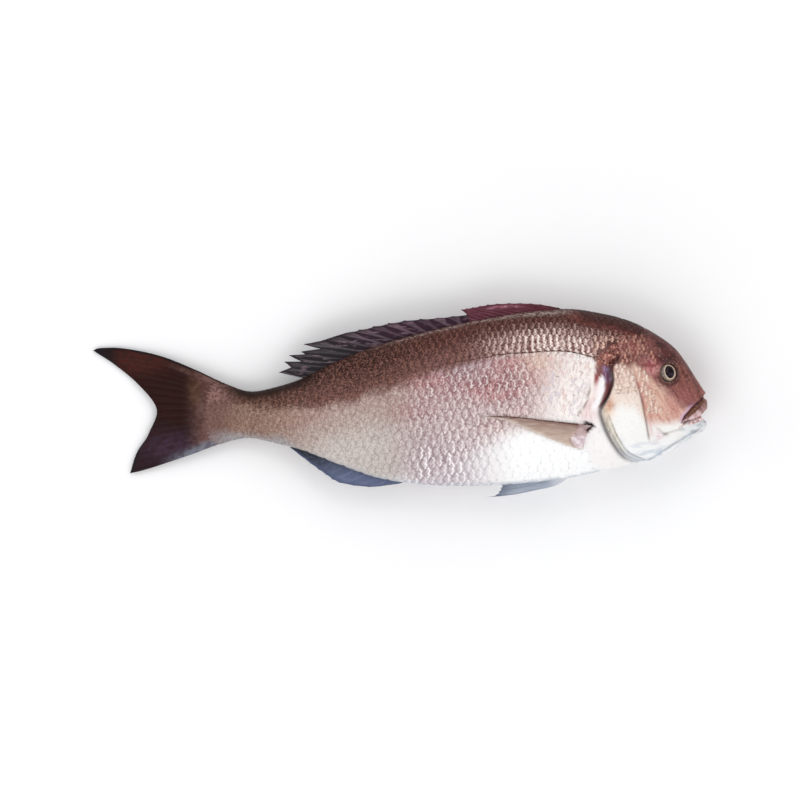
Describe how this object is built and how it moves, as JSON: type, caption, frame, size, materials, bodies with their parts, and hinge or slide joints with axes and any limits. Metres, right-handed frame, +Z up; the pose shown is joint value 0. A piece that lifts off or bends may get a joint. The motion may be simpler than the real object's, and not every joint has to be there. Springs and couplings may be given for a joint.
{
  "type": "whole raw fish",
  "caption": "Whole raw red sea bream lying on its flank: deep scaled body, steep head with gill cover and open mouth, folded spiny back fin, forked tail.",
  "frame": {"origin": "on the surface that the fish lies on, under the middle of its outline seen from above", "axes": "+X from tail to snout, +Y from belly to back, +Z up out of the right flank, which is the side shown"},
  "size_m": [0.4999, 0.1582, 0.0652],
  "materials": {
    "skin": "wet, scaled, copper-red back and silver belly",
    "eye": "wet gloss, dark pupil in a pale ring"
  },
  "bodies": {
    "root": {"fish": "skin", "eye_right": "eye", "eye_left": "eye"}
  },
  "joints": []
}
